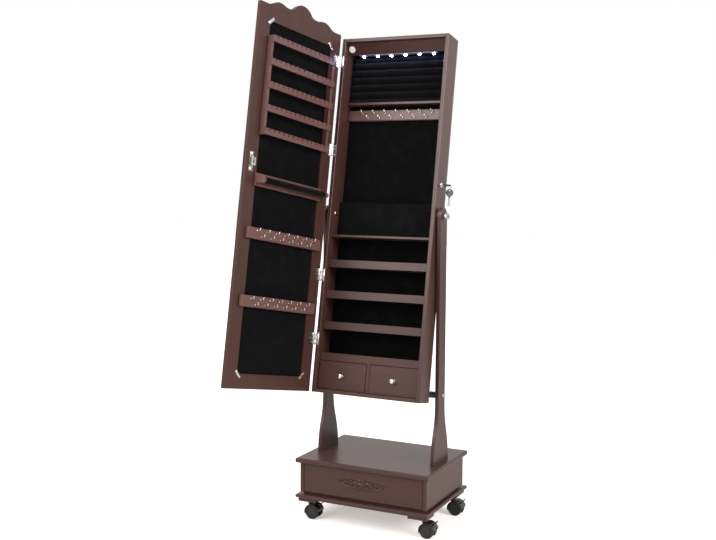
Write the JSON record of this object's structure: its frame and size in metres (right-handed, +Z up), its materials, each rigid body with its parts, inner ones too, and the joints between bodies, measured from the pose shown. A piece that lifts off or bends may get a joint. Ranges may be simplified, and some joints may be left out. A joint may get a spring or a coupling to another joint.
{
  "type": "jewelry mirror cabinet",
  "caption": "Free-standing tilting jewelry cabinet with a mirrored door, lined holders, shelves and drawers, on a low base with a drawer and casters.",
  "frame": {"origin": "middle of the base's top face, between the uprights", "axes": "+Z up, -Y towards the person who faces the open cabinet, +X to that person's right"},
  "size_m": [0.5362, 0.6739, 1.6386],
  "materials": {
    "brown_wood": "dark brown lacquered board, semi-gloss",
    "black_velvet": "black velvet",
    "mirror_glass": "silvered mirror glass",
    "nickel": "nickel-plated steel, satin",
    "chrome": "polished chrome",
    "black_plastic": "black moulded plastic",
    "white_plastic": "white moulded plastic",
    "key_black": "black coated metal"
  },
  "bodies": {
    "base": {"base_top_board": "brown_wood", "base_carcass": "brown_wood", "base_bottom_board": "brown_wood", "post_left": "brown_wood", "post_right": "brown_wood", "stretcher": "brown_wood"},
    "base_drawer": {"base_drawer": "brown_wood"},
    "caster_front_left": {"caster_front_left_housing": "black_plastic"},
    "caster_front_left_wheels": {"caster_front_left_wheels": "black_plastic"},
    "caster_front_left_brake": {"caster_front_left_brake": "black_plastic"},
    "caster_front_right": {"caster_front_right_housing": "black_plastic"},
    "caster_front_right_wheels": {"caster_front_right_wheels": "black_plastic"},
    "caster_front_right_brake": {"caster_front_right_brake": "black_plastic"},
    "caster_back_left": {"caster_back_left_housing": "black_plastic"},
    "caster_back_left_wheels": {"caster_back_left_wheels": "black_plastic"},
    "caster_back_left_brake": {"caster_back_left_brake": "black_plastic"},
    "caster_back_right": {"caster_back_right_housing": "black_plastic"},
    "caster_back_right_wheels": {"caster_back_right_wheels": "black_plastic"},
    "caster_back_right_brake": {"caster_back_right_brake": "black_plastic"},
    "cabinet": {"cabinet_side_left": "brown_wood", "cabinet_side_right": "brown_wood", "cabinet_top": "brown_wood", "cabinet_bottom": "brown_wood", "cabinet_back": "brown_wood", "light_fascia": "brown_wood", "led_strip": "white_plastic", "ring_shelf": "brown_wood", "ring_cushion": "black_velvet", "necklace_bar": "brown_wood", "pocket_shelf": "brown_wood", "fabric_pocket": "black_velvet", "cosmetic_shelf_1": "brown_wood", "cosmetic_shelf_2": "brown_wood", "cosmetic_shelf_3": "brown_wood", "cosmetic_shelf_4": "brown_wood", "tilt_bolt_left": "nickel", "tilt_bolt_right": "nickel", "lock_body": "nickel"},
    "tilt_knob_left": {"tilt_knob_left": "chrome"},
    "tilt_knob_right": {"tilt_knob_right": "chrome"},
    "door": {"door_frame": "brown_wood", "door_mirror": "mirror_glass", "door_lining": "black_velvet", "door_hinge_leaf_1": "nickel", "door_hinge_leaf_2": "nickel", "door_hinge_leaf_3": "nickel", "door_hinge_leaf_4": "nickel", "earring_rack": "brown_wood", "bracelet_holder": "brown_wood", "door_hook_bar_upper": "brown_wood", "door_hook_bar_lower": "brown_wood", "door_keeper": "nickel"},
    "drawer_left": {"drawer_left": "brown_wood", "drawer_pull_left": "nickel"},
    "drawer_right": {"drawer_right": "brown_wood", "drawer_pull_right": "nickel"},
    "light_switch": {"light_switch": "white_plastic"},
    "lock": {"lock_cam": "nickel", "door_key": "key_black"},
    "spare_key": {"spare_key": "key_black"}
  },
  "joints": [
    {"name": "base_drawer_slide", "type": "slide", "parent": "base", "child": "base_drawer", "axis": [0, -1, 0], "range_m": [0, 0.24]},
    {"name": "caster_front_left_swivel", "type": "hinge", "parent": "base", "child": "caster_front_left", "pos_m": [-0.2, -0.121, -0.1829], "axis": [0, 0, 1], "continuous": true},
    {"name": "caster_front_left_roll", "type": "hinge", "parent": "caster_front_left", "child": "caster_front_left_wheels", "pos_m": [-0.188, -0.121, -0.1829], "axis": [0, 1, 0], "continuous": true},
    {"name": "caster_front_left_brake_press", "type": "hinge", "parent": "caster_front_left", "child": "caster_front_left_brake", "pos_m": [-0.16775, -0.121, -0.16118], "axis": [0, 1, 0], "range_deg": [0, 25]},
    {"name": "caster_front_right_swivel", "type": "hinge", "parent": "base", "child": "caster_front_right", "pos_m": [0.2, -0.121, -0.1829], "axis": [0, 0, 1], "continuous": true},
    {"name": "caster_front_right_roll", "type": "hinge", "parent": "caster_front_right", "child": "caster_front_right_wheels", "pos_m": [0.212, -0.121, -0.1829], "axis": [0, 1, 0], "continuous": true},
    {"name": "caster_front_right_brake_press", "type": "hinge", "parent": "caster_front_right", "child": "caster_front_right_brake", "pos_m": [0.23225, -0.121, -0.16118], "axis": [0, 1, 0], "range_deg": [0, 25]},
    {"name": "caster_back_left_swivel", "type": "hinge", "parent": "base", "child": "caster_back_left", "pos_m": [-0.2, 0.121, -0.1829], "axis": [0, 0, 1], "continuous": true},
    {"name": "caster_back_left_roll", "type": "hinge", "parent": "caster_back_left", "child": "caster_back_left_wheels", "pos_m": [-0.188, 0.121, -0.1829], "axis": [0, 1, 0], "continuous": true},
    {"name": "caster_back_left_brake_press", "type": "hinge", "parent": "caster_back_left", "child": "caster_back_left_brake", "pos_m": [-0.16775, 0.121, -0.16118], "axis": [0, 1, 0], "range_deg": [0, 25]},
    {"name": "caster_back_right_swivel", "type": "hinge", "parent": "base", "child": "caster_back_right", "pos_m": [0.2, 0.121, -0.1829], "axis": [0, 0, 1], "continuous": true},
    {"name": "caster_back_right_roll", "type": "hinge", "parent": "caster_back_right", "child": "caster_back_right_wheels", "pos_m": [0.212, 0.121, -0.1829], "axis": [0, 1, 0], "continuous": true},
    {"name": "caster_back_right_brake_press", "type": "hinge", "parent": "caster_back_right", "child": "caster_back_right_brake", "pos_m": [0.23225, 0.121, -0.16118], "axis": [0, 1, 0], "range_deg": [0, 25]},
    {"name": "cabinet_tilt", "type": "hinge", "parent": "base", "child": "cabinet", "pos_m": [0, -0.004, 0.7792], "axis": [1, 0, 0], "range_deg": [-15, 5.8]},
    {"name": "tilt_knob_left_turn", "type": "hinge", "parent": "cabinet", "child": "tilt_knob_left", "pos_m": [0, -0.004, 0.7792], "axis": [-1, 0, 0], "range_deg": [0, 270]},
    {"name": "tilt_knob_right_turn", "type": "hinge", "parent": "cabinet", "child": "tilt_knob_right", "pos_m": [0, -0.004, 0.7792], "axis": [1, 0, 0], "range_deg": [0, 270]},
    {"name": "door_swing", "type": "hinge", "parent": "cabinet", "child": "door", "pos_m": [-0.189, -0.03878, 0.78577], "axis": [0, -0.1857, -0.9826], "range_deg": [-103.7, 16.3]},
    {"name": "drawer_left_slide", "type": "slide", "parent": "cabinet", "child": "drawer_left", "axis": [0, -0.9826, 0.1857], "range_m": [0, 0.045]},
    {"name": "drawer_right_slide", "type": "slide", "parent": "cabinet", "child": "drawer_right", "axis": [0, -0.9826, 0.1857], "range_m": [0, 0.045]},
    {"name": "light_switch_press", "type": "slide", "parent": "cabinet", "child": "light_switch", "axis": [0, 0.9039, 0.4278], "range_m": [0, 0.0015], "stiffness_N_per_m": 400, "springref_m": -0.002},
    {"name": "lock_turn", "type": "hinge", "parent": "cabinet", "child": "lock", "pos_m": [0.186, 0.01489, 0.87435], "axis": [1, 0, 0], "range_deg": [0, 90]},
    {"name": "spare_key_swing", "type": "hinge", "parent": "lock", "child": "spare_key", "pos_m": [0.214, 0.01989, 0.86864], "axis": [1, 0, 0], "range_deg": [-30, 30]}
  ]
}
